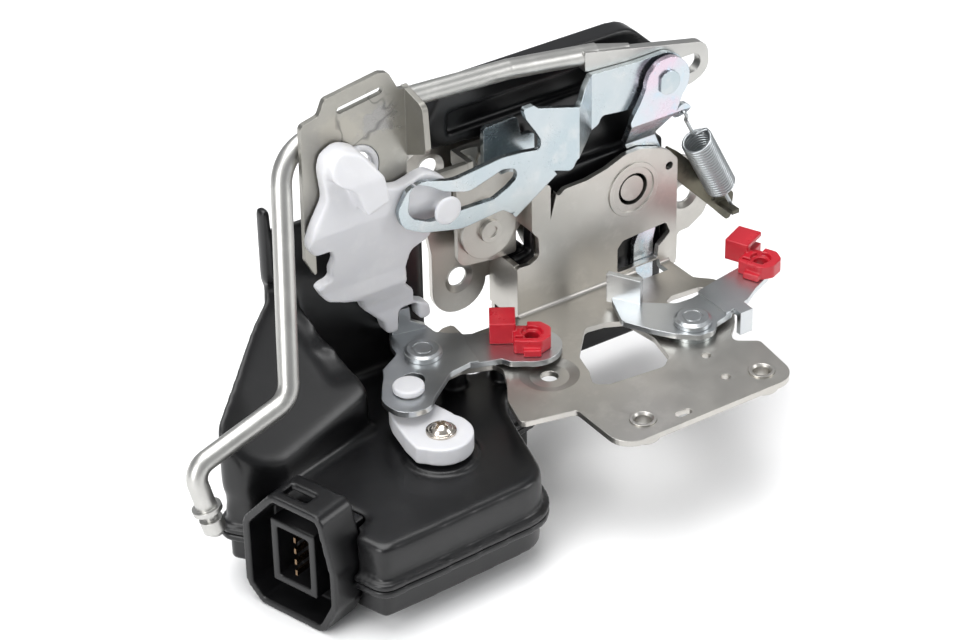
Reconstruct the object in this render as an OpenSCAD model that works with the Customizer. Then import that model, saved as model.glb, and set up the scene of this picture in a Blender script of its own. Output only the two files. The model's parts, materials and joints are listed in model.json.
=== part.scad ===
// Truck door latch with levers and a lock actuator.
// Drawing datum: the outside of the bend between the upright wall and the shelf of the base plate,
// X along the wall, Y towards the door end panel, Z up. The part's origin is midway between
// the two lower screw holes, on the face that seats on the door end panel.

/* [Latch body] */
// Distance from the front of the base plate to the door end panel
latch_depth = 19; // [17:0.5:24]
// Thickness of the structural steel sheet
sheet = 2; // [1.6:0.1:2.4]
// Half the distance between the two lower screw holes
screw_half = 47; // [46:0.5:50]
// Height of the lower screw holes above the bend line
screw_height = 11; // [10:0.5:13]
// Clearance bore of the screw holes
screw_bore = 7; // [6:0.1:8]
// Width of the upright wall of the base plate
wall_width = 65.5; // [64:0.5:68]
// Height of the black housing above the bend line
housing_top = 89; // [88:0.5:96]
// Depth of the black housing below the bend line
housing_drop = 28; // [24:0.5:30]

/* [Shelf] */
// How far the shelf reaches forward of the wall
shelf_reach = 80.5; // [78:0.5:90]
// Distance between the two threaded collars
collar_pitch = 47.5; // [44:0.5:52]
// Thread bore of the collars
collar_bore = 5.4; // [4.6:0.1:6]
// Outer diameter of the collars
collar_d = 8.8; // [8.2:0.1:10]

/* [Claw and pawl] */
// Thickness of the claw and the pawl
claw_t = 5.5; // [5:0.25:6]
// Rivet diameter of the claw
claw_pin_d = 7.6; // [7:0.1:9]
// Rivet diameter of the pawl
pawl_pin_d = 8; // [7:0.1:9]
// Width of the mouth for the striker
mouth_w = 17; // [15:0.5:19]
// Radial play of a moving piece on its pin
play = 0.08; // [0.04:0.01:0.1]

/* [Levers] */
// Thickness of the zinc plated levers
lever_t = 2; // [1.6:0.1:2.2]
// Diameter of the pin that carries the release and link levers
lever_pin_d = 6.8; // [6:0.1:7.5]
// Radius of the release lever around its pin
release_r = 8.8; // [8:0.1:9.5]
// Thickness of the nylon lock lever
lock_t = 5.1; // [4.5:0.1:5.2]
// Diameter of the peg on the lock lever
peg_d = 4.2; // [3.6:0.1:4.6]
// Pivot rivet of both bell cranks
crank_pin_d = 7; // [6:0.1:8]
// Head diameter of the bell crank rivets
crank_head_d = 12.8; // [11:0.2:13.4]

/* [Rod] */
// Diameter of the bent rod
rod_d = 6.7; // [6:0.1:7.2]
// Travel of the rod along its slotted end
rod_travel = 14; // [8:0.5:15]

/* [Actuator] */
// Height of the top of the actuator, below the bend line
case_top = -10.5; // [-12:0.25:-9.5]
// Height of the upper shell
case_h = 15; // [14:0.5:17]
// Height of the lower cover
cover_h = 12; // [10:0.5:14]
// Wall of the plastic shells
shell_wall = 2; // [1.6:0.1:2.4]
// Radius of the output arm round its screw
arm_r = 10.4; // [9.6:0.1:10.8]
// Thickness of the output arm
arm_t = 6.2; // [5.4:0.1:6.4]

/* [Connector] */
// Width of the shroud
plug_w = 38; // [36:0.5:41]
// Height of the shroud
plug_h = 45; // [42:0.5:47]
// Depth of the shroud
plug_depth = 14; // [12:0.5:17]
// Wall of the shroud
plug_wall = 2.6; // [2:0.1:3]

/* [Hidden] */
$fn = 48;

// Finishes
satin = "#b9b7ae";
zinc = "#c3cbd0";
dark_steel = "#4a4438";
black_plastic = "#26262a";
nylon = "#e4e4ea";
clip_red = "#c3202c";
nickel = "#b4a99c";
copper = "#b5764a";

// Places in the wall plane, as [x, z]
screw_left = [-12, screw_height];
screw_right = [screw_left.x + 2 * screw_half, screw_height];
screw_top = [-22.3, 56.4];
claw_pivot = [47, 33.5];
pawl_pivot = [-6.8, 33.5];
lever_pivot = [56.3, 74];
lug_at = [63, 60.4];
bracket_rivet_at = [[-15.1, 61.9], [-9.1, 61.4]];
lock_pivot_at = [-61, 78.5];
peg_at = [-33.6, 58.8];
mouth_x = 19;
mouth_top = 39.5;
slot_dir = [1, 0];

// Places in the shelf plane, as [x, y]
lock_crank_at = [-41, -5.4];
handle_crank_at = [42, -40.7];
arm_axis = [-55.5, -38.3];
arm_peg = [-56.2, -20.6];
collar_y = 9 - shelf_reach;
collar_x = -0.8;
emboss_at = [-10.6, -33.6];
post_at = [[-15, -13], [-31, -7.5]];
lock_clip_at = [-8.4, -20.4];
handle_clip_at = [79.3, -29];
lock_clip_turn = -33;
handle_clip_turn = -65;
arm_end_r = 10;

// Levels along Y
rear = latch_depth;
plate_y = rear - sheet;
claw_y = plate_y - 1 - claw_t;
recess_y = 8;
lower_y = 5;
upper_y = 9;
pocket_depth = claw_t + 1.5;
anchor_y = 5.1;
foot_y = 2.5;
eye_y = -0.4;
disc_y = -6;
link_y = -2.7;
link_front_y = -10;
lock_y = -7.5;
bracket_y = -sheet;

// Levels along Z
crank_z = 2;
clip_z = crank_z + lever_t;
ring_h = 2.2;
arm_z = case_top + ring_h + 0.3;
seam_z = case_top - case_h;
gear_h = 6;
gear_z = case_top - 11.8;
arm_drop = 0.6;
handle_step = 0.6;
clip_grip = 1.1;

// Small sizes that no neighbour depends on
dish = 1.2;
dish_d = 11;
left_wall_top = 19;
right_wall_top = 39;
emboss_depth = 0.9;
emboss_d = 20;
emboss_rim = 0.5;
foot_x = wall_width - 16;
foot_w = 8;
post_d = 9;
post_screw_d = 4;
claw_ring_d = 9.3;
claw_r = 38;
claw_travel = 38;
claw_slot_w = 14;
bracket_rivet_d = 3;
collar_h = 4;
hub_d = 17;
peg_head_d = 10;
eye_t = 3.4;
coil_d = 11.2;
wire_d = 1.3;
spring_from = [64.6, -4.8, 56.8];
spring_to = [wall_width + 23.2, -0.4, 13.4];

// Actuator details
slot_w = 7.8;
peg_shank_d = 6.4;
peg_top_d = 10.4;
clip_pin_d = 8;
spline_d = 8;
screw_head_d = 9.8;
screw_thread_d = 4;
gear_r = 29.35;
gear_step = 6.4;
worm_d = 9;
worm_pitch = 3.2;
motor_turn = 16.3;
mesh_gap = 0.3704;
motor_reach = 29.3762;
motor_at = arm_axis + (gear_r + worm_d / 2 + mesh_gap) * [-sin(motor_turn), cos(motor_turn)]
    - motor_reach * [cos(motor_turn), sin(motor_turn)];
motor_l = 30;
motor_d = 16;
carrier_top = 56.5;
slope_at = [-64.9, -13.6, 3.5];
slope_tilt = 45.5;
slope_turn = 9.3;
plug_at = [-116.8, -45.4, -22];
plug_turn = -72;

module from_datum() {
    translate([-(screw_left.x + screw_half), -rear, -screw_height]) children();
}

// An outline drawn as [x, z] becomes a plate from y to y + t
module upright(y, t) {
    translate([0, y + t, 0]) rotate([90, 0, 0]) linear_extrude(t) children();
}

// An outline drawn as [y, z] becomes a bar from x to x + w
module side_profile(x, w) {
    translate([x, 0, 0]) rotate([90, 0, 90]) linear_extrude(w) children();
}

module flat_plate(z, t) {
    translate([0, 0, z]) linear_extrude(t) children();
}

module pin_y(at, y, length, d) {
    translate([at.x, y + length, at.y]) rotate([90, 0, 0]) cylinder(h = length, d = d);
}

module pin_z(at, z, length, d) {
    translate([at.x, at.y, z]) cylinder(h = length, d = d);
}

// Corner q between p and s, rounded with radius r
function corner(p, q, s, r) =
    let (
        u = (p - q) / norm(p - q),
        v = (s - q) / norm(s - q),
        half = acos(max(-1, min(1, u * v))) / 2,
        centre = q + (u + v) / norm(u + v) * r / sin(half),
        a = q + u * r / tan(half) - centre,
        b = q + v * r / tan(half) - centre,
        start = atan2(a.y, a.x),
        raw = atan2(b.y, b.x) - start,
        turn = raw > 180 ? raw - 360 : raw < -180 ? raw + 360 : raw,
        steps = max(2, ceil(abs(turn) / 11))
    )
    [for (i = [0 : steps]) centre + r * [cos(start + turn * i / steps), sin(start + turn * i / steps)]];

// Points are [x, y, radius]; a radius of 0 keeps the corner sharp
function rounded(pts) =
    let (n = len(pts))
    [for (i = [0 : n - 1])
        let (
            p = pts[(i + n - 1) % n],
            q = pts[i],
            s = pts[(i + 1) % n]
        )
        each (q.z == 0
            ? [[q.x, q.y]]
            : corner([p.x, p.y], [q.x, q.y], [s.x, s.y], q.z))];

module outline(pts) {
    polygon(rounded(pts));
}

module slot_2d(a, b, d) {
    along = b - a;
    turn = atan2(along.y, along.x);
    translate(a) rotate(turn) {
        translate([0, -d / 2]) square([norm(along), d]);
        circle(d = d);
        translate([norm(along), 0]) circle(d = d);
    }
}

// Inset by d of a counter-clockwise list of [x, y, radius]
function inset(p, d) =
    let (n = len(p))
    [for (i = [0 : n - 1])
        let (
            a = [p[(i + n - 1) % n].x, p[(i + n - 1) % n].y],
            b = [p[i].x, p[i].y],
            c = [p[(i + 1) % n].x, p[(i + 1) % n].y],
            u = (b - a) / norm(b - a),
            v = (c - b) / norm(c - b),
            q = b + d * [-u.y - v.y, u.x + v.x] / (1 + u * v),
            bulge = u.x * v.y - u.y * v.x > 0 ? -d : d
        )
        [q.x, q.y, max(0.4, p[i].z + bulge)]];

// A straight round bar from a to b
module bar(a, b, d) {
    along = b - a;
    translate(a)
        rotate([0, acos(along.z / norm(along)), atan2(along.y, along.x)])
            cylinder(h = norm(along), d = d);
}

module mouth_2d() {
    translate([mouth_x, mouth_top - mouth_w / 2]) circle(d = mouth_w);
    translate([mouth_x - mouth_w / 2, -housing_drop - 1])
        square([mouth_w, mouth_top - mouth_w / 2 + housing_drop + 1]);
}

face_pts = [
    [-22.6, 24, 0], [-22.6, -1.7, 10.3], [-1.4, -1.7, 10.3], [-1.4, 8, 0], [2, 8, 0], [2, -27, 2],
    [65, -27, 2], [65, -15.2, 2], [70, -15.2, 2], [78.7, -16.8, 3], [78.9, -3.2, 2], [84, -3, 3],
    [90, 0.8, 4], [94, 8, 5], [90.5, 22, 7], [79, 28, 5], [67, 32, 4], [63, 80, 7], [47, 80, 6],
    [44, 63, 4], [-3.1, 62.6, 2], [-22.1, 66, 5], [-33, 62, 7], [-33.5, 52, 6], [-26, 43, 4]
];

// The panel that seats on the door, with three dished screw holes
module face_plate() {
    screws = [screw_left, screw_right, screw_top];
    color(satin) from_datum() difference() {
        upright(plate_y, sheet) difference() {
            outline(face_pts);
            mouth_2d();
            translate(claw_pivot) circle(d = claw_pin_d);
            translate(pawl_pivot) circle(d = pawl_pin_d);
            translate(lever_pivot) circle(d = lever_pin_d);
            for (at = screws) translate(at) circle(d = screw_bore);
        }
        for (at = screws)
            translate([at.x, plate_y, at.y]) rotate([-90, 0, 0])
                cylinder(h = dish, d1 = dish_d, d2 = screw_bore);
    }
}

wall_pts = [
    [0, -sheet, 0], [0, left_wall_top, 1], [5, left_wall_top - 0.4, 1], [8.8, 20.4, 2], [8.6, 27.7, 2],
    [6, 31, 1], [6, 47, 1], [13.6, 47, 2], [13.4, 33, 0.5], [12.6, 30, 1], [18.3, 43, 3], [28.1, 43.2, 4],
    [36.2, 44.9, 5], [43.7, 47.8, 5], [wall_width - 15.5, 48, 5], [wall_width - 7.3, 45.5, 5],
    [wall_width - 3.4, 43.3, 4],
    [wall_width, 39.3, 3], [wall_width, -sheet, 0]
];

shelf_pts = [
    [wall_width - 3, 0, 0], [-18, 0.5, 0], [-20.8, 2, 1], [-20.3, 8.9, 1.5], [-24, 9, 3], [-31, 6, 5],
    [-43, 5, 6], [-51, -1, 7], [-51, -12, 7], [-42, -15.8, 5], [-32.7, -15.1, 3], [-22, -19, 2],
    [-21.4, -23, 3], [-24.7, -30, 8], [-30.2, -38.6, 8], [-31.6, -43.5, 3], [-33.7, -51.2, 2],
    [-15, -55.3, 2], [-14.8, -shelf_reach, 8], [54.4, -shelf_reach, 8], [57.1, -57.5, 2],
    [50, -52.4, 2], [51.8, -48.8, 2], [57.2, -43.9, 3], [66, -32, 8], [68.4, -19.4, 4], [62.7, -13.7, 2]
];

window_pts = [
    [14.3, -18.3, 3], [3.1, -30.8, 5], [0.7, -40.1, 4], [-2.6, -46.6, 2.5], [2, -49.6, 2],
    [22.4, -51.6, 4], [27.2, -47.7, 4], [29.8, -36, 5], [28, -22.5, 3], [21.4, -19.3, 2]
];

side_opening_pts = [
    [wall_width - 20.1, -21.1, 1.2], [wall_width - 16.1, -18.9, 1.5], [wall_width - 5.4, -19.6, 1.5],
    [wall_width - 2.4, -22.8, 0.8], [wall_width - 10.2, -24.7, 1], [wall_width - 16.6, -24.5, 1]
];

foot_opening_pts = [
    [wall_width - 24.7, 2.5, 1], [wall_width - 24.7, 12, 1.5], [wall_width - 22.5, 14.6, 2],
    [wall_width - 4.5, 15.6, 1.5], [wall_width - 2.5, 11.1, 1.2], [wall_width - 7.5, 7, 1], [wall_width - 7.9, 2.5, 1]
];

recess_pts = [
    [-18, 22, 4], [-18, 66, 3], [4, 66, 3], [8, 56, 2], [8, 31, 1], [5, 28, 2], [5, 20, 1], [-4, 20, 4]
];

// Upright wall, shelf and side walls, one steel pressing
module base_plate() {
    inner_bend = 1.5;
    outer_bend = 2.5;
    tail = wall_width - sheet;
    color(satin) from_datum() difference() {
        union() {
            upright(0, sheet) outline(wall_pts);
            flat_plate(-sheet, sheet) outline(shelf_pts);
            translate([0, sheet, -sheet]) cube([sheet, plate_y - sheet, left_wall_top + sheet]);
            translate([tail, sheet, -sheet]) cube([sheet, plate_y - sheet, right_wall_top + sheet]);
            upright(recess_y, sheet) outline(recess_pts);
            translate([6, sheet, 31]) cube([sheet, recess_y - sheet, 16]);
            side_profile(0, wall_width - 3) difference() {
                translate([-inner_bend, 0]) square(inner_bend);
                translate([-inner_bend, inner_bend]) circle(r = inner_bend);
            }
            translate([emboss_at.x, emboss_at.y, -sheet - emboss_depth])
                cylinder(h = emboss_depth, d = emboss_d);
            upright(-emboss_rim, emboss_rim) translate(claw_pivot) difference() {
                circle(d = 20);
                circle(d = 16.6);
            }
        }
        side_profile(-1, wall_width + 2) difference() {
            translate([sheet - outer_bend, -sheet]) square(outer_bend);
            translate([sheet - outer_bend, outer_bend - sheet]) circle(r = outer_bend);
        }
        upright(-3, sheet + 6) outline(foot_opening_pts);
        translate([foot_x - 1, -5, -sheet - 1]) cube([foot_w + 2, sheet + 6, 5]);
        flat_plate(-sheet - 1, sheet + 2) {
            outline(window_pts);
            outline(side_opening_pts);
            slot_2d([10.2, 4.4 - shelf_reach], [13.2, 4.4 - shelf_reach], 3);
            translate([37.3, -54.3]) circle(d = 3.2);
            translate([35.1, 12.9 - shelf_reach]) circle(d = 3.2);
            for (i = [0, 1]) translate([collar_x + i * collar_pitch, collar_y]) circle(d = collar_d);
            translate(lock_crank_at) circle(d = crank_pin_d);
            translate(handle_crank_at) circle(d = crank_pin_d);
            for (at = post_at) translate(at) circle(d = post_screw_d);
        }
        translate([emboss_at.x, emboss_at.y, -sheet - 2]) cylinder(h = sheet + 3, d = 6);
        translate([emboss_at.x, emboss_at.y, -emboss_depth]) cylinder(h = emboss_depth, d1 = 13, d2 = emboss_d);
        pin_y(claw_pivot, -1, sheet + 2, claw_ring_d + 2.4);
        pin_y([62, 37.5], -1, sheet + 2, 3);
        pin_y(pawl_pivot, recess_y - 1, sheet + 2, pawl_pin_d);
        for (at = bracket_rivet_at) pin_y(at, recess_y - 1, sheet + 2, bracket_rivet_d);
    }
}

module housing_outline_2d() {
    outline([
        [2.4, -housing_drop, 2], [62.8, -housing_drop, 3], [62.8, 47, 1], [64.5, 50, 2], [64.5, 77, 8],
        [52, housing_top, 11], [-22, housing_top, 4], [-27, 80, 4], [-27, 68.5, 2], [-3, 66.6, 1], [2.4, 62, 1]
    ]);
}

// Black moulded body that guides the striker and covers the claw and the pawl
module latch_housing() {
    pocket_y = plate_y - pocket_depth;
    color(black_plastic) from_datum() difference() {
        union() {
            upright(upper_y, plate_y - upper_y) housing_outline_2d();
            upright(lower_y, upper_y - lower_y) outline([
                [2.4, -housing_drop, 2], [62.8, -housing_drop, 3], [62.8, 47, 2], [9, 47, 2],
                [9, 19.6, 1], [2.4, 19.2, 1]
            ]);
        }
        upright(pocket_y, pocket_depth + 1) intersection() {
            translate(claw_pivot) circle(r = claw_r + 1);
            outline([[-9, -24, 3], [61, -24, 3], [61, 60, 3], [-9, 60, 3]]);
        }
        upright(pocket_y, pocket_depth + 1) outline([[0, 20, 0.5], [24, 18, 3], [24, 64, 3], [0, 64, 1]]);
        upright(lower_y - 1, plate_y) mouth_2d();
        translate([-30, upper_y - 1, 18]) cube([38.7, recess_y + sheet - upper_y + 1.3, 48.6]);
        pin_y(claw_pivot, lower_y - 1, plate_y, claw_ring_d + 0.4);
        pin_y(lever_pivot, upper_y - 1, plate_y, lever_pin_d);
        upright(upper_y - 1, 3.4) outline([[-20, 72, 1], [40, 72, 2], [40, 80, 2], [-20, 80, 1]]);
    }
}

bracket_pts = [
    [-79.8, 99.6, 2], [-73.2, 101.2, 2], [-71, 106.2, 2], [-51, 109.4, 2], [-48, 108.4, 2], [-44.6, 101.6, 1],
    [-40.9, 101.2, 0], [-40.9, 78.4, 0], [-42.6, 76, 0.5], [-42.6, 66.8, 1], [-18.6, 66.8, 0], [-18.6, 62.7, 0],
    [-74, 62.7, 1], [-76.8, 60, 1], [-76.8, 46.4, 0], [-77.6, 46, 0], [-80.6, 52, 2]
];

// Upright bracket that carries the lock lever, with a stiffening flange and a jogged arm
module lever_bracket() {
    step_x = -19.8;
    color(satin) from_datum() difference() {
        union() {
            upright(bracket_y, sheet) outline(bracket_pts);
            side_profile(-42.4, sheet) outline([
                [bracket_y + sheet + 0.1, 101.6, 0], [-12, 99, 3], [-13.4, 83, 3], [bracket_y, 77.6, 0],
                [bracket_y + sheet + 0.1, 77.6, 0]
            ]);
            translate([step_x, bracket_y - 0.1, 62.4]) cube([sheet, recess_y - bracket_y + 0.1, 4.7]);
            upright(recess_y - sheet, sheet - 0.1) outline([
                [step_x + 0.4, 58, 1], [-6, 58, 2], [-6, 65.5, 2], [-14, 66.8, 1], [step_x + 0.4, 66.8, 0]
            ]);
        }
        pin_y(lock_pivot_at, bracket_y - 1, sheet + 2, hub_d + 2 * play);
        upright(bracket_y - 1, sheet + 2) slot_2d([-65.6, 101], [-51.4, 103.2], 2.4);
        for (at = bracket_rivet_at) pin_y(at, recess_y - 3, 4, bracket_rivet_d);
        pin_y([-46.5, 62.1], bracket_y - 1, sheet + 2, 3);
    }
}

// Two rivets between the lever bracket and the base plate
module bracket_rivets() {
    color(satin) from_datum() for (at = bracket_rivet_at) {
        pin_y(at, recess_y - sheet, 2 * sheet, bracket_rivet_d);
        pin_y(at, recess_y - sheet - 1, 1, bracket_rivet_d + 2);
        pin_y(at, recess_y + sheet, 0.5, bracket_rivet_d + 2);
    }
}

// Threaded collars pressed into the front of the shelf
module threaded_collars() {
    color(satin) from_datum() for (i = [0, 1])
        translate([collar_x + i * collar_pitch, collar_y, 0]) difference() {
            union() {
                translate([0, 0, -sheet - collar_h]) cylinder(h = collar_h, d = collar_d + 2.6);
                translate([0, 0, -sheet]) cylinder(h = sheet + 0.5, d = collar_d);
            }
            translate([0, 0, -sheet - collar_h - 1]) cylinder(h = collar_h + sheet + 3, d = collar_bore);
            translate([0, 0, -0.3]) cylinder(h = 0.9, d1 = collar_bore, d2 = collar_bore + 1.6);
        }
}

// The claw in its closed place, its slot round the striker
module claw_2d() {
    slot_from = [-28, -2.5];
    slot_to = slot_from + 26 * [-cos(20), -sin(20)];
    difference() {
        union() {
            circle(d = 25);
            intersection() {
                circle(r = claw_r);
                outline([
                    [6, 11, 2], [-18, 22, 4], [-44, 30, 0], [-46, -12, 0], [-38, -40, 0], [-20, -24, 6], [-3, -12, 2]
                ]);
            }
        }
        slot_2d(slot_from, slot_to, claw_slot_w);
        circle(d = claw_pin_d + 2 * play);
    }
}

// Latch claw, drawn at rest in its open place
module claw() {
    color(dark_steel) from_datum() translate([claw_pivot.x, 0, claw_pivot.y]) rotate([0, -claw_travel, 0])
        upright(claw_y, claw_t) claw_2d();
}

// Rivet that carries the claw, staked in the face plate
module claw_rivet() {
    color(satin) from_datum() {
        pin_y(claw_pivot, claw_y - 0.4, rear - claw_y + 0.4, claw_pin_d);
        pin_y(claw_pivot, 0.6, claw_y - 1, claw_ring_d);
    }
}

// Pawl that rests on the rim of the open claw
module pawl() {
    color(dark_steel) from_datum() upright(claw_y, claw_t) difference() {
        outline([
            [3, 39.4, 4], [8.2, 32, 1], [8.6, 27, 1], [3.5, 25.2, 1.5], [-15.3, 25, 8.4],
            [-15.5, 52, 2], [-9, 54, 2], [-3, 40.6, 3]
        ]);
        translate(pawl_pivot) circle(d = pawl_pin_d + 2 * play);
    }
}

// Rivet that carries the pawl
module pawl_rivet() {
    color(satin) from_datum() difference() {
        union() {
            pin_y(pawl_pivot, recess_y - 3.6, rear - recess_y + 3.6, pawl_pin_d);
            pin_y(pawl_pivot, recess_y + sheet, 0.4, pawl_pin_d + 4);
        }
        pin_y(pawl_pivot, recess_y - 4, 1, 4.2);
    }
}

// Large washer in front of the pawl rivet's seat
module pawl_washer() {
    color(satin) from_datum() difference() {
        pin_y(pawl_pivot, recess_y - sheet, sheet, 21);
        pin_y(pawl_pivot, recess_y - sheet - 1, sheet + 2, pawl_pin_d);
    }
}

// Pin that carries the release lever, the link lever and the slotted end of the rod
module lever_pin() {
    color(zinc) from_datum() difference() {
        union() {
            pin_y(lever_pivot, disc_y - 0.9, rear - disc_y + 0.9, lever_pin_d);
            pin_y(lever_pivot, upper_y - 5.6, 5.6, lever_pin_d + 5);
            pin_y(lever_pivot, disc_y - 0.9, 0.7, lever_pin_d + 1.6);
        }
        translate([lever_pivot.x - 6, disc_y - 1.4, lever_pivot.y - 5]) cube([2.6, 1.2, 10]);
    }
}

// Release lever: a disc round the pin, a spring lug and a foot that runs behind the wall
module release_lever() {
    drop = [[disc_y, 84], [disc_y, 61.4], [foot_y, 50], [foot_y, -12], [foot_y + lever_t, -12],
        [foot_y + lever_t, 50.8], [disc_y + lever_t, 62.2], [disc_y + lever_t, 84]];
    color("#c9bcc6") from_datum() difference() {
        intersection() {
            upright(disc_y - 1, 14) union() {
                translate(lever_pivot) circle(r = release_r);
                translate(lug_at) circle(r = 3.2);
                outline([
                    [47.6, 74, 0], [45.3, 69.3, 3], [41.3, 63, 2], [46, 48, 3],
                    [foot_x + 5.7, 36, 3], [foot_x + 5.7, 22, 3],
                    [foot_x, 9, 2], [foot_x, -8, 3], [foot_x + foot_w, -8, 3], [foot_x + foot_w, 9, 3],
                    [foot_x + 11.1, 22, 3], [foot_x + 11.5, 42, 3], [56.8, 52, 2], [60.2, 62, 2], [65, 74, 0]
                ]);
            }
            side_profile(35, 40) polygon(drop);
        }
        pin_y(lever_pivot, disc_y - 1, 6, lever_pin_d + 2 * play);
        pin_y(lug_at, disc_y - 1, 6, 1.8);
    }
}

link_pts = [
    [-3.7, 84.8, 1], [0.4, 84.9, 1], [2.4, 83.2, 1], [19, 78.3, 3], [22.5, 82, 3], [27.6, 84, 3], [45.2, 83, 5],
    [58, 83.2, 7], [65, 80, 7], [64.8, 68, 7], [52, 65, 4], [46.2, 65.9, 4], [31.7, 67.7, 2], [31, 64.9, 3],
    [24.9, 62.4, 3], [17.1, 59.6, 2], [15.1, 56.2, 2], [8, 58.6, 2], [-8.2, 48, 2], [-12, 50.9, 3],
    [-27.8, 49.3, 12], [-42, 52.9, 10], [-49.7, 57.1, 6], [-51.3, 63.2, 5], [-47.4, 70.1, 5], [-41.4, 71.4, 5],
    [-30.3, 67.9, 12], [-11.7, 70, 10], [-4, 69.3, 4], [3, 68.1, 1.5], [3, 71.7, 2], [1, 75.3, 1], [-2.6, 80.8, 3]
];

link_slot_pts = [
    [-46.4, 70.2, 2.5], [-43.6, 71, 2.5], [-39.2, 68.8, 4], [-33.7, 65.1, 5], [-24.7, 61.9, 8], [-11.7, 65.8, 3],
    [-6.9, 64.6, 3], [-6, 61, 2.5], [-9.9, 58.2, 4], [-15.2, 55.8, 4], [-27.5, 56.2, 12], [-39.6, 55.9, 6],
    [-45.6, 59, 4], [-47.6, 62.1, 4]
];

// Long link lever, stepped forward to pass in front of the lock lever
module link_lever() {
    plan = [
        [-60, link_front_y], [18, link_front_y], [28, link_y], [72, link_y], [72, link_y + lever_t],
        [27.2, link_y + lever_t], [17.2, link_front_y + lever_t], [-60, link_front_y + lever_t]
    ];
    color(zinc) from_datum() difference() {
        union() {
            intersection() {
                upright(link_front_y - 1, 12) outline(link_pts);
                flat_plate(30, 60) polygon(plan);
            }
            upright(link_front_y, 8.4) polygon([[-8.2, 48], [8, 58.6], [9.1, 56.9], [-7.1, 46.3]]);
        }
        upright(link_front_y - 1, 12) outline(link_slot_pts);
        pin_y(lever_pivot, link_y - 1, lever_t + 2, lever_pin_d + 2 * play);
    }
}

// Bent zinc stop bracket above the pawl, and the curved strip beside it
module stop_bracket() {
    color(zinc) from_datum() {
        upright(3, sheet) outline([
            [-10.4, 58, 1], [-10.4, 74, 1.5], [2.6, 74.5, 1.5], [4, 66.9, 1.5], [9.2, 66.6, 1.5], [9.4, 56, 1], [2, 54, 2]
        ]);
        translate([-4, 3, 55]) cube([6, recess_y - 3, sheet]);
    }
}

// Coil spring that returns the release lever
module release_spring() {
    along = spring_to - spring_from;
    length = norm(along);
    first = 0.23 * length;
    turns = 21;
    color(dark_steel) from_datum() translate(spring_from)
        rotate([0, acos(along.z / length), atan2(along.y, along.x)]) {
            rotate_extrude() {
                translate([coil_d / 2 - 2 * wire_d, first]) square([1.6 * wire_d, turns * wire_d]);
                for (i = [0 : turns - 1])
                    translate([coil_d / 2 - wire_d / 2, first + (i + 0.5) * wire_d]) circle(d = wire_d, $fn = 12);
            }
            cylinder(h = first + 1, d = wire_d);
            translate([0, 0, first]) cylinder(h = 1.2, d = coil_d - wire_d);
            translate([0, 0, first + turns * wire_d - 1.2]) cylinder(h = 1.2, d = coil_d - wire_d);
            translate([0, 0, first + turns * wire_d - 1]) cylinder(h = length - first - turns * wire_d + 1, d = wire_d);
        }
}

// Dark steel anchor of the release spring, with three holes
module spring_anchor() {
    color(dark_steel) from_datum() difference() {
        union() {
            upright(anchor_y, sheet) outline([
                [wall_width, 33, 0.5], [wall_width, 41, 0.5], [wall_width + 4.5, 37.5, 2], [wall_width + 14.5, 27, 3],
                [wall_width + 23.5, 19.5, 2], [wall_width + 28.5, 13.5, 2], [wall_width + 27.3, 1.8, 1.5],
                [wall_width + 18.5, 11.5, 1], [wall_width + 5.9, 24.6, 2]
            ]);
            translate([wall_width + 6.5, anchor_y, 25.4]) cube([sheet, plate_y - anchor_y, 3.8]);
            translate([spring_to.x - 1.3, spring_to.y - wire_d - 1.2, spring_to.z - 2.8])
                cube([3, anchor_y - spring_to.y + wire_d + 2, 1.6]);
        }
        for (at = [[wall_width + 23.5, 14.6], [wall_width + 25.5, 10.6], [wall_width + 19.9, 14.4]])
            pin_y(at, anchor_y - 1, sheet + 2, 2.2);
    }
}

lock_pts = [
    [-76, 84.6, 4], [-74.8, 89, 4], [-69.4, 92.2, 5.5], [-63.6, 89.4, 5], [-56, 80, 4], [-54.7, 72.5, 3],
    [-48.4, 70.2, 8], [-38, 73, 5], [-31.5, 68, 4], [-28.6, 60, 5], [-31, 53, 6], [-36, 44.6, 3],
    [-41.5, 42.4, 3], [-42.6, 35, 5], [-41.7, 26.9, 3], [-37.1, 22, 3], [-36, 16, 2], [-30.2, 13.5, 2],
    [-29.6, 8.2, 1.5], [-34.2, 8.2, 1.5], [-34.5, 15.2, 1.5], [-42, 15.2, 1.5], [-42.4, 7, 1.2], [-46.6, 7, 1.5],
    [-48, 12, 2], [-55.1, 19.7, 3], [-58.5, 26.6, 3], [-72.1, 32.3, 4], [-75.8, 38.6, 1], [-73.8, 40.4, 1],
    [-70.4, 40, 2], [-72, 45.6, 2], [-71.4, 50.4, 2], [-72.8, 54.4, 1], [-78.6, 54.4, 3], [-82.2, 59, 5],
    [-79.4, 66, 5], [-74.8, 74, 6]
];

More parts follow.
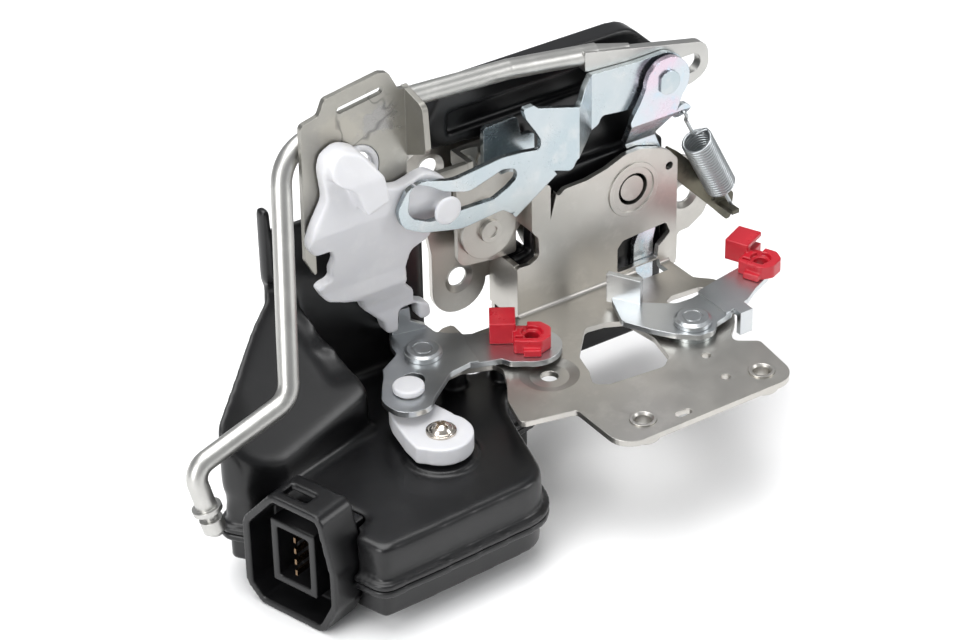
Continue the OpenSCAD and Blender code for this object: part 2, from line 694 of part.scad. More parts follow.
// Nylon lock lever: hub snapped in the bracket, peg in the link lever, fork at the bottom
module lock_lever() {
    slope = [
        [lock_y, 100], [lock_y, 62.5], [0, 36], [0.5, 30], [5, 22], [6.5, 17], [6.5, 0], [12.5, 0],
        [12.5, 17], [9, 24], [5.5, 31], [5, 36], [lock_y + lock_t, 54.6], [lock_y + lock_t, 100]
    ];
    color(nylon) from_datum() difference() {
        union() {
            intersection() {
                upright(lock_y - 1, 24) outline(lock_pts);
                side_profile(-90, 70) polygon(slope);
            }
            pin_y(lock_pivot_at, lock_y + lock_t, -lock_y - lock_t + 0.4, hub_d);
            pin_y(lock_pivot_at, 0.1, 1.2, hub_d + 1.2);
            intersection() {
                upright(-15, 16 + lock_y) outline([
                    [-75.4, 88, 5], [-70.6, 92, 4], [-63.6, 89, 5], [-57.6, 80.4, 3], [-56, 71.6, 0.8], [-64.4, 68.6, 0.8],
                    [-68.2, 78.6, 5], [-74.8, 82.6, 5]
                ]);
                side_profile(-90, 70) polygon([[lock_y + 2, 94], [lock_y - 3, 91], [-14.2, 80.6], [-14.6, 66], [lock_y + 2, 66]]);
            }
            pin_y(peg_at, link_front_y - 0.4, lock_y - link_front_y + 3, peg_d);
            pin_y(peg_at, link_front_y - 2, 1.7, peg_head_d);
        }
        pin_y(lock_pivot_at, lock_y + 3, 10, hub_d - 5);
        for (at = [[-44, 60], [-66, 62]]) pin_y(at, lock_y + lock_t - 2, 12, 6);
    }
}

// Ball with its poles along a direction
module ball(at, along, d) {
    translate(at) rotate([0, acos(along.z), atan2(along.y, along.x)]) sphere(d = d);
}

// Bend of a round bar between the directions u and v, starting at a
module bend(a, u, v, r, d) {
    axis = cross(u, v) / norm(cross(u, v));
    side = cross(axis, u);
    turn = acos(u * v);
    centre = a + r * side;
    multmatrix([
        [-side.x, u.x, axis.x, centre.x],
        [-side.y, u.y, axis.y, centre.y],
        [-side.z, u.z, axis.z, centre.z]
    ]) rotate_extrude(angle = turn) translate([r, 0]) circle(d = d);
}

rod_path = [
    [33, 2.9, 88], [0, 4.3, 91.8], [-39.7, 5.2, 93.4], [-83.3, 5.2, 89], [-101.6, -24.2, 21], [-138.2, -27.4, 11],
    [-135.6, -30, -3]
];
rod_bends = [0, 0, 0, 15, 9, 6];

// The bent rod with its flattened, slotted end
module bent_rod() {
    n = len(rod_path);
    unit = [for (i = [0 : n - 2]) (rod_path[i + 1] - rod_path[i]) / norm(rod_path[i + 1] - rod_path[i])];
    half = [for (i = [0 : n - 2]) i == 0 ? 0 : rod_bends[i] * tan(acos(unit[i - 1] * unit[i]) / 2)];
    color(zinc) from_datum() difference() {
        union() {
            for (i = [0 : n - 2]) {
                a = rod_path[i] + unit[i] * half[i];
                b = rod_path[i + 1] - unit[i] * (i < n - 2 ? half[i + 1] : 0);
                bar(a, b, rod_d);
            }
            for (i = [1 : n - 2]) {
                if (rod_bends[i] > 0) {
                    bend(rod_path[i] - unit[i - 1] * half[i], unit[i - 1], unit[i], rod_bends[i], rod_d);
                    ball(rod_path[i] - unit[i - 1] * half[i], unit[i - 1], rod_d + 0.08);
                }
                ball(rod_path[i] + unit[i] * half[i], unit[i], rod_d + 0.08);
            }
            upright(eye_y, eye_t) outline([
                [27, 91.2, 0], [27, 84.4, 0], [41, 81, 4], [49.6, 67.2, 5], [70, 66.4, 6.4], [77.6, 69.6, 6], [76.4, 80.4, 5]
            ]);
            translate(rod_path[0]) rotate([0, acos(-unit[0].z), atan2(-unit[0].y, -unit[0].x)])
                translate([0, 0, -1]) cylinder(h = 14, d1 = rod_d - 0.3, d2 = 2.6);
            translate(rod_path[n - 1]) rotate([0, acos(unit[n - 2].z), atan2(unit[n - 2].y, unit[n - 2].x)]) {
                translate([0, 0, -1]) cylinder(h = 1.6, d = rod_d + 2.8);
                cylinder(h = 3.4, d = rod_d - 2.2);
                translate([0, 0, 3.4]) cylinder(h = 4.2, d = rod_d + 0.8);
                translate([0, 0, 7.6]) cylinder(h = 1.8, d1 = rod_d + 0.8, d2 = rod_d - 2.4);
            }
        }
        upright(eye_y - 1, eye_t + 2)
            slot_2d(lever_pivot, lever_pivot + rod_travel * slot_dir, lever_pin_d + 2 * play);
    }
}

lock_crank_pts = [
    [-43, 12.2, 1.5], [-46.9, 5, 3], [-48, -0.6, 3], [-56.6, -5.6, 2], [-58.4, -9, 2], [-62.5, -14.6, 4],
    [-66.6, -20.8, 7], [-65, -31.5, 7.5], [-55, -32.2, 6], [-51, -28, 3], [-39.4, -19.4, 4],
    [-31, -18.2, 0], [-26.4, -0.6, 0], [-30.6, 3.4, 2],
    [-30.9, 9.4, 1.5]
];

arm_end_pts = [
    [-30, -18.6, 0], [-21, -21.8, 1], [-19.6, -24.8, 2], [-13, -29.2, 2], [-6, -24, 0], [-3, -12, 0],
    [-8.4, -10.2, 2], [-16, -6.4, 3], [-25.4, -1.4, 0]
];

// Crank that carries the lock motion from the output arm to the lock lever
module lock_crank() {
    last = len(lock_crank_pts) - 1;
    tab_at = (lock_crank_pts[0] + lock_crank_pts[last]) / 2;
    color(satin) from_datum() difference() {
        union() {
            flat_plate(crank_z, lever_t) outline(lock_crank_pts);
            flat_plate(crank_z - arm_drop, lever_t) {
                outline(arm_end_pts);
                translate(lock_clip_at) circle(r = arm_end_r);
            }
            flat_plate(crank_z - arm_drop, arm_drop + lever_t) polygon([[-31.4, -18.1], [-28.4, -19.1], [-24, -2], [-27, -0.2]]);
            translate([tab_at.x, tab_at.y, crank_z]) rotate(-13) translate([-5.8, -0.4, 0])
                rotate([90, 0, 0]) linear_extrude(lever_t)
                    polygon([[0, 0], [11.6, 0], [11.6, 3], [6.5, 6], [6.1, 11.2], [2.6, 11.2], [2.2, 6], [0, 3]]);
        }
        pin_z(lock_crank_at, crank_z - 1, lever_t + 2, crank_pin_d + 2 * play);
        flat_plate(crank_z - 1, lever_t + 4) slot_2d(arm_peg + [-0.7, -0.7], arm_peg + [4.6, 4.6], slot_w);
        pin_z(lock_clip_at, crank_z - arm_drop - 1, lever_t + 3, clip_pin_d + 2 * play);
    }
}

// Rivets with a stepped head, one for each crank
module crank_rivets() {
    color(zinc) from_datum() for (at = [lock_crank_at, handle_crank_at]) translate([at.x, at.y, 0]) difference() {
        union() {
            translate([0, 0, -sheet - 1]) cylinder(h = sheet + clip_z + 1.2, d = crank_pin_d);
            translate([0, 0, -sheet - 1.8]) cylinder(h = 1.8, d = crank_head_d - 2);
            translate([0, 0, clip_z + 0.1]) {
                cylinder(h = 1.6, d = crank_head_d);
                translate([0, 0, 1.5]) cylinder(h = 0.8, d1 = crank_head_d - 0.4, d2 = crank_head_d - 2.4);
            }
        }
        translate([0, 0, clip_z + 2.1]) difference() {
            cylinder(h = 1, d = crank_pin_d);
            translate([0, 0, -1]) cylinder(h = 3, d = crank_pin_d - 1);
        }
    }
}

// Spacer washers between the shelf and the cranks
module crank_washers() {
    color(zinc) from_datum() for (at = [lock_crank_at, handle_crank_at]) translate([at.x, at.y, 0]) difference() {
        cylinder(h = crank_z - 0.1, d = crank_head_d + 1.6);
        translate([0, 0, -1]) cylinder(h = crank_z + 2, d = crank_pin_d);
    }
}

// Snap clip that takes a rod: a stud, a thick plate and a jaw block with a side slot
module rod_clip() {
    color(clip_red) difference() {
        union() {
            translate([0, 0, -clip_grip]) cylinder(h = clip_grip + 1, d = clip_pin_d);
            translate([0, 0, 0.1]) linear_extrude(5) outline([
                [-6, -5.4, 1], [3, -6, 2], [6.2, -2.5, 2], [6.4, 3, 2.5], [3, 6.2, 2], [-6, 6.4, 0]
            ]);
            translate([-2.8, -7.6, 0.1]) cube([5.8, 3, 2.4]);
            translate([-13.8, 0.4, 0.1]) cube([8.6, 10.4, 7.8]);
        }
        translate([0, 0, -clip_grip - 1]) cylinder(h = 12, d = clip_pin_d - 3.2);
        translate([0, 0, 3.6]) cylinder(h = 2, d = clip_pin_d - 1);
        translate([-5.4, -3.6, 3.9]) cube([8, 1.2, 2]);
        translate([-11.4, 2.6, 3.5]) cube([10, 10, 2.7]);
    }
}

module lock_rod_clip() {
    from_datum() translate([lock_clip_at.x, lock_clip_at.y, crank_z + lever_t - arm_drop]) rotate(lock_clip_turn) rod_clip();
}

module handle_rod_clip() {
    from_datum() translate([handle_clip_at.x, handle_clip_at.y, crank_z + lever_t + handle_step]) rotate(handle_clip_turn)
        rod_clip();
}

handle_crank_pts = [
    [29.6, -10.6, 2], [23.3, -26.8, 3], [28.3, -36.1, 4], [33.2, -43.2, 3], [39.3, -48.6, 4], [45, -49, 4],
    [48.5, -45.3, 2], [57, -43.2, 2], [57, -27.6, 2], [50.6, -28.9, 3], [44.1, -28.4, 5], [35.6, -21.6, 2]
];

handle_pad_pts = [
    [54, -43.4, 1], [61.6, -41.8, 3], [65.1, -40.6, 4], [70.8, -37.1, 5], [86.6, -30, 3], [88, -23.2, 3],
    [74.4, -23.4, 5], [62.5, -25.5, 5], [54, -27.4, 1]
];

// Crank that the inside handle pulls through the second red clip
module handle_crank() {
    color(satin) from_datum() difference() {
        union() {
            flat_plate(crank_z, lever_t) outline(handle_crank_pts);
            flat_plate(crank_z + handle_step, lever_t) outline(handle_pad_pts);
            translate([54, -43.2, crank_z]) cube([lever_t, 15.4, handle_step + lever_t]);
            translate([29.6, -10.6, crank_z]) rotate(-60) translate([0, -lever_t, 0]) cube([12.4, lever_t, 11]);
            translate([57.6, -46.4, crank_z - 6]) cube([5, lever_t, 6 + handle_step + lever_t]);
            translate([57.6, -45, crank_z + handle_step]) cube([5, 4, lever_t]);
        }
        pin_z(handle_crank_at, crank_z - 1, lever_t + 2, crank_pin_d + 2 * play);
        pin_z(handle_clip_at, crank_z, lever_t + 6, clip_pin_d + 2 * play);
    }
}

// Nylon output arm of the actuator, its peg in the slot of the lock crank
module output_arm() {
    color(nylon) from_datum() difference() {
        union() {
            flat_plate(arm_z, arm_t) {
                translate(arm_axis) circle(r = arm_r);
                outline([
                    [-64.4, -23, 3], [-61.6, -15.6, 5], [-50.8, -15.8, 5], [-46.4, -33, 2], [arm_axis.x, arm_axis.y, 0],
                    [-61.4, -46.6, 0], [-66.8, -41.4, 2], [-66.4, -34, 3]
                ]);
            }
            pin_z(arm_axis, case_top + ring_h + 0.2, arm_z - case_top - ring_h + 1, 13);
            pin_z(arm_peg, arm_z + 1, clip_z - arm_z - 0.6, peg_shank_d);
            pin_z(arm_peg, clip_z + 0.35, 2.4, peg_top_d);
        }
        pin_z(arm_axis, case_top, 20, spline_d);
    }
}

// Pan head screw that holds the output arm
module arm_screw() {
    head_z = arm_z + arm_t;
    color(nickel) from_datum() translate([arm_axis.x, arm_axis.y, head_z]) difference() {
        union() {
            cylinder(h = 0.7, d = screw_head_d);
            translate([0, 0, 0.6]) cylinder(h = 0.5, d1 = screw_head_d - 0.4, d2 = screw_head_d - 1.4);
            translate([0, 0, 1]) intersection() {
                translate([0, 0, 2.4 - 4.4]) sphere(r = 4.4);
                cylinder(h = 2.4, d = screw_head_d - 2);
            }
            translate([0, 0, -9]) cylinder(h = 9.5, d = screw_thread_d);
        }
        for (turn = [20, 110]) rotate(turn) translate([-2.6, -0.55, 1.5]) cube([5.2, 1.1, 3]);
        translate([0, 0, 1.1]) cylinder(h = 3, d1 = 1.2, d2 = 3);
    }
}

// Splined steel shaft between the output arm and the sector gear
module output_shaft() {
    color(satin) from_datum() difference() {
        pin_z(arm_axis, seam_z - cover_h + shell_wall + 0.3, arm_z + arm_t - 1 - seam_z + cover_h - shell_wall - 0.3, spline_d);
        pin_z(arm_axis, arm_z + arm_t - 9.2, 12, screw_thread_d);
    }
}

// Sector gear on the output shaft
module sector_gear() {
    color(nylon) from_datum() translate([arm_axis.x, arm_axis.y, gear_z]) difference() {
        union() {
            cylinder(h = gear_h, d = 15);
            linear_extrude(gear_h) intersection() {
                circle(r = gear_r - 2.2, $fn = 96);
                polygon([[0, 0], for (turn = [56, 106, 156]) 60 * [cos(turn), sin(turn)]]);
            }
            linear_extrude(gear_h) for (turn = [58 : gear_step : 154]) rotate(turn)
                polygon([[gear_r - 3.2, -1.25], [gear_r, -0.5], [gear_r, 0.5], [gear_r - 3.2, 1.25]]);
        }
        translate([0, 0, -1]) cylinder(h = gear_h + 2, d = spline_d);
        translate([0, 0, -1]) linear_extrude(gear_h + 2) intersection() {
            difference() {
                circle(r = gear_r - 8);
                circle(r = 11);
            }
            polygon([[0, 0], for (turn = [70, 106, 142]) 60 * [cos(turn), sin(turn)]]);
        }
    }
}

// Puts a child drawn along +X on the motor's axis
module on_motor_axis() {
    translate([motor_at.x, motor_at.y, gear_z + gear_h / 2]) rotate(motor_turn) children();
}

// Worm on the motor's shaft
module worm() {
    color(copper) from_datum() on_motor_axis() rotate([0, 90, 0]) {
        translate([0, 0, motor_l / 2 - 1]) cylinder(h = 28, d = 3);
        translate([0, 0, motor_l / 2 + 2]) rotate_extrude() polygon([
            [1.4, 0], [worm_d / 2 - 1.9, 0], each [for (i = [0 : 6]) each [
                [worm_d / 2 - 1.9, 0.8 + i * worm_pitch], [worm_d / 2, 1.2 + i * worm_pitch],
                [worm_d / 2, 1.8 + i * worm_pitch], [worm_d / 2 - 1.9, 2.2 + i * worm_pitch]
            ]], [worm_d / 2 - 1.9, 23], [1.4, 23]
        ]);
    }
}

// Small direct current motor
module motor() {
    color(nickel) from_datum() on_motor_axis() rotate([0, 90, 0]) difference() {
        union() {
            intersection() {
                translate([0, 0, -motor_l / 2]) cylinder(h = motor_l, d = motor_d);
                translate([-motor_d / 2 + 1.5, -motor_d / 2, -motor_l / 2]) cube([motor_d - 3, motor_d, motor_l]);
            }
            translate([0, 0, motor_l / 2]) cylinder(h = 1.2, d = 8);
        }
        translate([0, 0, -5]) cylinder(h = motor_l, d = 3 + 2 * play);
    }
}

case_pts = [
    [-8, -21, 3], [-8, -5, 3], [-24, -4, 3], [-26, 14, 3], [-82.6, 14.6, 4], [-96, 6.6, 3], [-124, -15, 4],
    [-118, -22.6, 3], [-113.2, -25.4, 2], [-100.4, -65.6, 4], [-98.4, -71.4, 4], [-78, -70.8, 3],
    [-33.8, -68.4, 13], [-23.6, -30.4, 4], [-20, -24, 2]
];

bump_pts = [
    [-65.4, -13.4, 2], [-68.6, -5, 1], [-73.4, 3.4, 3], [-77, 11.6, 2], [-82.6, 16.8, 3], [-96.4, 7.4, 3],
    [-124, -14.8, 4], [-118.2, -22.4, 4], [-113, -24.6, 2], [-105.4, -25.2, 3]
];

// Everything above the sloping face of the motor housing, moved down along its normal by d
module above_slope(d) {
    translate(slope_at) rotate([slope_tilt, 0, slope_turn]) translate([-90, -90, -d]) cube([180, 180, 90]);
}

// Upper shell of the actuator with the raised motor housing and the carrier plate
module actuator_case() {
    color(black_plastic) from_datum() difference() {
        union() {
            flat_plate(seam_z, case_h) outline(inset(case_pts, 0.8));
            flat_plate(seam_z, 2.5) outline(inset(case_pts, -1.6));
            difference() {
                flat_plate(case_top - 1, 50) outline(bump_pts);
                above_slope(0);
            }
            pin_z(arm_axis, case_top - 1, ring_h + 1, 17);
            pin_z(arm_axis, case_top - 1, ring_h, 24);
            for (at = post_at) pin_z(at, case_top - 1, -sheet - case_top + 1, post_d);
            translate([-87, 13.2, case_top - 1]) cube([60, 3.6, carrier_top - case_top + 1]);
            translate([-88, 11, 38]) cube([4, 5.8, 28]);
        }
        flat_plate(seam_z - 1, case_h - shell_wall + 1) outline(inset(case_pts, 0.8 + shell_wall));
        difference() {
            flat_plate(case_top - shell_wall - 1, 50) outline(inset(bump_pts, shell_wall + 0.4));
            above_slope(shell_wall);
        }
        pin_z(arm_axis, case_top - 5, 12, spline_d + 2 * play);
        difference() {
            translate(slope_at) rotate([slope_tilt, 0, slope_turn]) translate([0, 0, -1.1]) linear_extrude(5)
                outline([[-1.6, 7, 1], [-3, 22, 2], [-12, 36, 2], [-15, 33, 2], [-12, 9, 2]]);
            translate(slope_at) rotate([slope_tilt, 0, slope_turn]) translate([0, 0, -3])
                rotate(-24) translate([-18, 14, 0]) cube([30, 2, 9]);
        }
        for (at = post_at) pin_z(at, case_top - shell_wall - 2, 20, post_screw_d);
        plug_place() translate([0, 0, -plug_depth - 0.3]) linear_extrude(plug_depth + 4) plug_2d(plug_wall + 0.3);
        plug_place() translate([-10.3, -14.3, -plug_depth - 6.3]) cube([24.6, 26.6, 8]);
    }
}

// Screws through the posts of the actuator into the shelf
module case_screws() {
    color(nickel) from_datum() for (at = post_at) {
        pin_z(at, case_top - shell_wall, -case_top + shell_wall - 0.2, post_screw_d);
        pin_z(at, case_top - shell_wall - 2.4, 2.4, post_d - 0.6);
    }
}

// Lower cover of the actuator
module actuator_cover() {
    color(black_plastic) from_datum() difference() {
        union() {
            flat_plate(seam_z - 2.5, 2.5) outline(inset(case_pts, -1.6));
            flat_plate(seam_z - cover_h, cover_h) outline(inset(case_pts, 1.6));
            translate([-31, -54, seam_z - 2.5]) cylinder(h = 2.5, d = 7);
        }
        flat_plate(seam_z - cover_h + shell_wall, cover_h) outline(inset(case_pts, 1.6 + shell_wall));
        pin_z(arm_axis, seam_z - cover_h - 1, 20, 4);
        plug_place() translate([0, 0, -plug_depth - 0.3]) linear_extrude(plug_depth + 4) plug_2d(plug_wall + 0.3);
        plug_place() translate([-10.3, -14.3, -plug_depth - 6.3]) cube([24.6, 26.6, 8]);
    }
}

// Outline of the shroud at its mouth, grown by d outside the pin chamber
module plug_2d(d) {
    w = plug_w / 2;
    h = plug_h / 2;
    outline(inset([
        [-w + 6, -h, 4], [w - 6, -h, 5], [w, -h + 12, 6], [w, h - 20, 5], [w - 5, h, 4],
        [-w + 12, h, 4], [-w, h - 14, 6], [-w, -h + 6, 4]
    ], plug_wall - d));
}

// Places the shroud with its mouth along the connector's axis
module plug_place() {
    translate(plug_at) rotate([90, 0, plug_turn]) children();
}

// Keyed connector shroud
module plug_shroud() {
    color(black_plastic) from_datum() plug_place() difference() {
        union() {
            translate([0, 0, -plug_depth]) linear_extrude(plug_depth) plug_2d(plug_wall);
            translate([-10, -14, -plug_depth - 6]) cube([24, 26, 7]);
        }
        translate([0, 0, -plug_depth + 2]) linear_extrude(plug_depth + 1) plug_2d(0);
        translate([-5, plug_h / 2 - 5, -9]) cube([10, 8, 5]);
    }
    color(black_plastic) from_datum() plug_place() difference() {
        translate([-9, -12, -plug_depth + 1]) cube([18, 24, plug_depth - 3]);
        translate([-6.4, -9.4, -plug_depth + 3]) cube([12.8, 18.8, plug_depth]);
    }
}

// Copper contact blades
module plug_pins() {
    color(copper) from_datum() plug_place() for (i = [0 : 3])
        translate([-0.4, -7.2 + i * 4.2, -plug_depth - 4]) cube([0.8, 2, plug_depth + 1]);
}

face_plate();
base_plate();
latch_housing();
lever_bracket();
bracket_rivets();
threaded_collars();
claw();
claw_rivet();
pawl();
pawl_rivet();
pawl_washer();
lever_pin();
release_lever();
link_lever();
stop_bracket();
release_spring();
spring_anchor();
lock_lever();
bent_rod();
lock_crank();
lock_rod_clip();
handle_crank();
crank_rivets();
crank_washers();
handle_rod_clip();
output_arm();
arm_screw();
output_shaft();
sector_gear();
worm();
motor();
actuator_case();
actuator_cover();
case_screws();
plug_shroud();
plug_pins();
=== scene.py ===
import json
import math
import bpy
import bmesh
import numpy as np
from mathutils import Matrix, Vector

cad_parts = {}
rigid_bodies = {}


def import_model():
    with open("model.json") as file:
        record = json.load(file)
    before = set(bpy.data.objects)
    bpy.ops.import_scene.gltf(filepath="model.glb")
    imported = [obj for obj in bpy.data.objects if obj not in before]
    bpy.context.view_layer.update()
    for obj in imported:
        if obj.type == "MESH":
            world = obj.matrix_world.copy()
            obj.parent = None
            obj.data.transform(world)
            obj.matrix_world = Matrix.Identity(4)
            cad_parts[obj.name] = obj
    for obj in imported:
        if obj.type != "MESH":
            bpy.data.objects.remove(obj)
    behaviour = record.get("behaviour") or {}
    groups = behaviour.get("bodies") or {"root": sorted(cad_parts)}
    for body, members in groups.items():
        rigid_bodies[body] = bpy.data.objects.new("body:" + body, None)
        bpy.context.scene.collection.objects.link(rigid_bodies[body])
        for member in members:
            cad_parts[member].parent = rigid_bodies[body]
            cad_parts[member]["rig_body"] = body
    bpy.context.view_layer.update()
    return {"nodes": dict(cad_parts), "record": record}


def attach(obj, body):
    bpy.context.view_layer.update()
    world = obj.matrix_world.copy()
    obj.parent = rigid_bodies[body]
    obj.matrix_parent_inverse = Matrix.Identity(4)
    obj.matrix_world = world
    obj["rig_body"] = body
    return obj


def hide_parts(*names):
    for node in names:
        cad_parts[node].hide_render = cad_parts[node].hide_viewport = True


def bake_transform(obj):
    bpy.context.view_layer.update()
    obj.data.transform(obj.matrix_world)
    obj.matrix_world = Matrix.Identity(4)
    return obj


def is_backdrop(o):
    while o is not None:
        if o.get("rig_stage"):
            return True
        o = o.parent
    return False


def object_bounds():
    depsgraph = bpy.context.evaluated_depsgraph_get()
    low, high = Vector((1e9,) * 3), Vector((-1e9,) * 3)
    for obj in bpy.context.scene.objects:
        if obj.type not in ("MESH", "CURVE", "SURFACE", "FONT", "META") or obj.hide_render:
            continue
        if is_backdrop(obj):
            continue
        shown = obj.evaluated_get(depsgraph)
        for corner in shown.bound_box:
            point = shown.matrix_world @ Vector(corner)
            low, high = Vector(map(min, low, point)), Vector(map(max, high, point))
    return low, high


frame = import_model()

mm = 0.001
print("frame loaded:", len(frame["nodes"]), "nodes")


# the drawing measures from the plate's bend, the part from the middle of its screws
def fromBend(x, y, z):
    return Vector(((x - 35) * mm, (y - 19) * mm, (z - 11) * mm))


def newGroup(name, inputs, outputs):
    tree = bpy.data.node_groups.new(name, "ShaderNodeTree")
    for label, kind, value in inputs:
        tree.interface.new_socket(name=label, in_out="INPUT", socket_type=kind).default_value = value
    for label, kind in outputs:
        tree.interface.new_socket(name=label, in_out="OUTPUT", socket_type=kind)
    entry = tree.nodes.new("NodeGroupInput")
    leave = tree.nodes.new("NodeGroupOutput")
    return tree, entry, leave


def link(tree, source, socket):
    # a socket takes a plain value or the output of another node
    if isinstance(source, (int, float, tuple, list, Vector)):
        socket.default_value = source
    else:
        tree.links.new(source, socket)


def noiseNode(tree, vector, scale, detail=4.0, rough=0.55):
    node = tree.nodes.new("ShaderNodeTexNoise")
    node.inputs["Detail"].default_value = detail
    node.inputs["Roughness"].default_value = rough
    link(tree, scale, node.inputs["Scale"])
    link(tree, vector, node.inputs["Vector"])
    return node


def mathNode(tree, kind, a, b, clamp=False):
    node = tree.nodes.new("ShaderNodeMath")
    node.operation = kind
    node.use_clamp = clamp
    link(tree, a, node.inputs[0])
    link(tree, b, node.inputs[1])
    return node.outputs[0]


def vectorNode(tree, kind, *values):
    node = tree.nodes.new("ShaderNodeVectorMath")
    node.operation = kind
    for value, socket in zip(values, node.inputs):
        link(tree, value, socket)
    return node.outputs["Value" if kind == "DISTANCE" else "Vector"]


def objectPlace(tree):
    return tree.nodes.new("ShaderNodeTexCoord").outputs["Object"]


def spanNode(tree, value, low, high, outLow=0.0, outHigh=1.0):
    node = tree.nodes.new("ShaderNodeMapRange")
    node.interpolation_type = "SMOOTHSTEP"
    for i, number in enumerate((low, high, outLow, outHigh)):
        node.inputs[i + 1].default_value = number
    link(tree, value, node.inputs[0])
    return node.outputs[0]


def mixColour(tree, factor, a, b):
    node = tree.nodes.new("ShaderNodeMix")
    node.data_type = "RGBA"
    link(tree, factor, node.inputs[0])
    link(tree, a, node.inputs[6])
    link(tree, b, node.inputs[7])
    return node.outputs[2]


# how the noises are tuned: scales in cells to the metre, spans as low and high of the noise
patterns = {
    "slowSpan": (0.42, 0.62), "fastSpan": (0.5, 0.72), "fastTimes": 4.3,
    "patchScale": 95.0, "markScale": 210.0, "markWidth": 0.02, "warpScale": 160.0, "warp": (0.02, 0.02, 0.02),
    "markRough": 0.08, "markDepth": 0.35, "spotRim": 0.45, "streakRim": 0.6,
}


def buildCloudGroup(s):
    # slow drifts between two tints, as on pickled or plated steel
    tree, entry, leave = newGroup(
        "tint drift",
        [("Base", "NodeSocketColor", (0.6, 0.6, 0.6, 1)), ("Second", "NodeSocketColor", (0.5, 0.5, 0.5, 1)),
         ("Third", "NodeSocketColor", (0.7, 0.7, 0.7, 1)), ("Scale", "NodeSocketFloat", 40.0),
         ("Amount", "NodeSocketFloat", 0.5)],
        [("Color", "NodeSocketColor"), ("Mask", "NodeSocketFloat")])
    given = entry.outputs
    place = objectPlace(tree)
    slow = noiseNode(tree, place, given["Scale"], 3.0)
    fast = noiseNode(tree, place, mathNode(tree, "MULTIPLY", given["Scale"], s["fastTimes"]), 5.0, 0.62)
    maskA = mathNode(tree, "MULTIPLY", spanNode(tree, slow.outputs[0], *s["slowSpan"]), given["Amount"])
    maskB = mathNode(tree, "MULTIPLY", spanNode(tree, fast.outputs[0], *s["fastSpan"]), given["Amount"])
    first = mixColour(tree, maskA, given["Base"], given["Second"])
    link(tree, mixColour(tree, maskB, first, given["Third"]), leave.inputs["Color"])
    link(tree, maskA, leave.inputs["Mask"])
    return tree


def buildGrainGroup(s):
    # rolled or tumbled grain: a height and a roughness that follow stretched noise
    tree, entry, leave = newGroup(
        "fine grain",
        [("Scale", "NodeSocketFloat", 900.0), ("Stretch", "NodeSocketVector", (1.0, 1.0, 1.0)),
         ("Roughness", "NodeSocketFloat", 0.35), ("Spread", "NodeSocketFloat", 0.1),
         ("Scratches", "NodeSocketFloat", 0.3)],
        [("Roughness", "NodeSocketFloat"), ("Height", "NodeSocketFloat")])
    given = entry.outputs
    place = objectPlace(tree)
    grain = noiseNode(tree, vectorNode(tree, "MULTIPLY", place, given["Stretch"]), given["Scale"], 3.0, 0.6)
    patch = noiseNode(tree, place, s["patchScale"], 4.0, 0.6)
    warp = noiseNode(tree, place, s["warpScale"], 2.0)
    marks = tree.nodes.new("ShaderNodeTexVoronoi")
    marks.feature = "DISTANCE_TO_EDGE"
    marks.inputs["Scale"].default_value = s["markScale"]
    bent = vectorNode(tree, "MULTIPLY_ADD", warp.outputs["Color"], s["warp"], place)
    link(tree, bent, marks.inputs["Vector"])
    near = spanNode(tree, marks.outputs[0], 0.0, s["markWidth"], 1.0, 0.0)
    line = mathNode(tree, "MULTIPLY", near, given["Scratches"])
    patchOff = mathNode(tree, "SUBTRACT", patch.outputs[0], 0.5)
    grainOff = mathNode(tree, "SUBTRACT", grain.outputs[0], 0.5)
    broad = mathNode(tree, "MULTIPLY", mathNode(tree, "MULTIPLY", patchOff, given["Spread"]), 2.0)
    fine = mathNode(tree, "MULTIPLY", grainOff, given["Spread"])
    lift = mathNode(tree, "ADD", mathNode(tree, "ADD", given["Roughness"], broad), fine)
    total = mathNode(tree, "ADD", lift, mathNode(tree, "MULTIPLY", line, s["markRough"]), True)
    link(tree, total, leave.inputs["Roughness"])
    deep = mathNode(tree, "MULTIPLY", line, s["markDepth"])
    link(tree, mathNode(tree, "SUBTRACT", grain.outputs[0], deep), leave.inputs["Height"])
    return tree


def buildSpotGroup(s):
    # a soft round patch with a ragged rim, at a place on the part; on the bracket it carries painted
    # reflection
    tree, entry, leave = newGroup(
        "ragged spot",
        [("Centre", "NodeSocketVector", (0.0, 0.0, 0.0)), ("Radius", "NodeSocketFloat", 0.008),
         ("Ragged", "NodeSocketFloat", 0.5), ("Scale", "NodeSocketFloat", 260.0)],
        [("Mask", "NodeSocketFloat")])
    given = entry.outputs
    place = objectPlace(tree)
    ratio = mathNode(tree, "DIVIDE", vectorNode(tree, "DISTANCE", place, given["Centre"]), given["Radius"])
    rim = noiseNode(tree, place, given["Scale"], 5.0, 0.6)
    shake = mathNode(tree, "MULTIPLY", mathNode(tree, "SUBTRACT", rim.outputs[0], 0.5),
                     mathNode(tree, "MULTIPLY", given["Ragged"], 3.0))
    mask = spanNode(tree, mathNode(tree, "ADD", ratio, shake), s["spotRim"], 1.0, 1.0, 0.0)
    link(tree, mask, leave.inputs["Mask"])
    return tree


